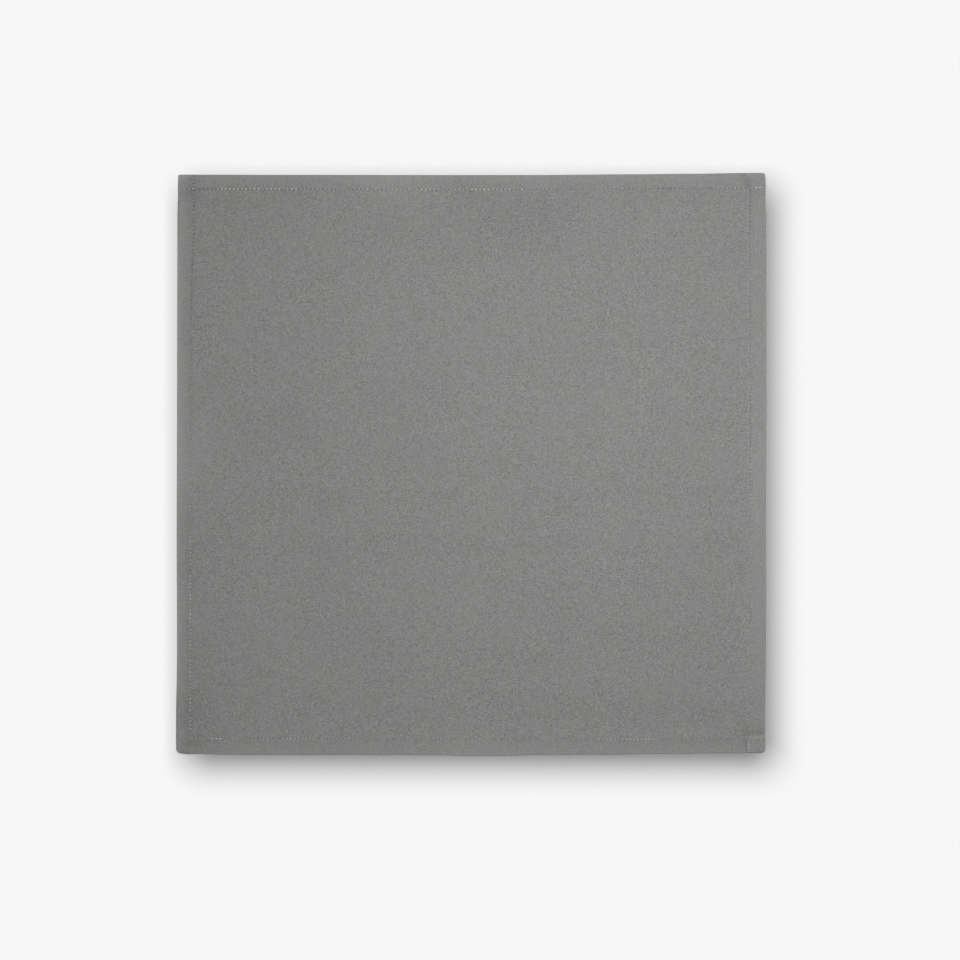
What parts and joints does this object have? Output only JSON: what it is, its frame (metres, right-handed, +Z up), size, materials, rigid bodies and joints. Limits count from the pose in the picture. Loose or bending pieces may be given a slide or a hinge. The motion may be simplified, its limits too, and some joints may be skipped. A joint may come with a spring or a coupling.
{
  "type": "cloth napkin",
  "caption": "Nearly square plain-weave cotton napkin, open and flat, with a double-turned stitched hem on every side and thick folded corners.",
  "frame": {"origin": "under the middle of the cloth, at the height of the surface it lies on", "axes": "+Z up out of the face side, +X along the bottom and top hems, +Y towards the top hem"},
  "size_m": [0.4516, 0.446, 0.003],
  "materials": {
    "cotton_cloth": "mid grey plain-weave cotton with fine lighter and darker yarn flecks, matt",
    "hem_thread": "grey cotton sewing thread, a little lighter than the cloth, soft sheen"
  },
  "bodies": {
    "root": {"napkin": "cotton_cloth"}
  },
  "joints": []
}
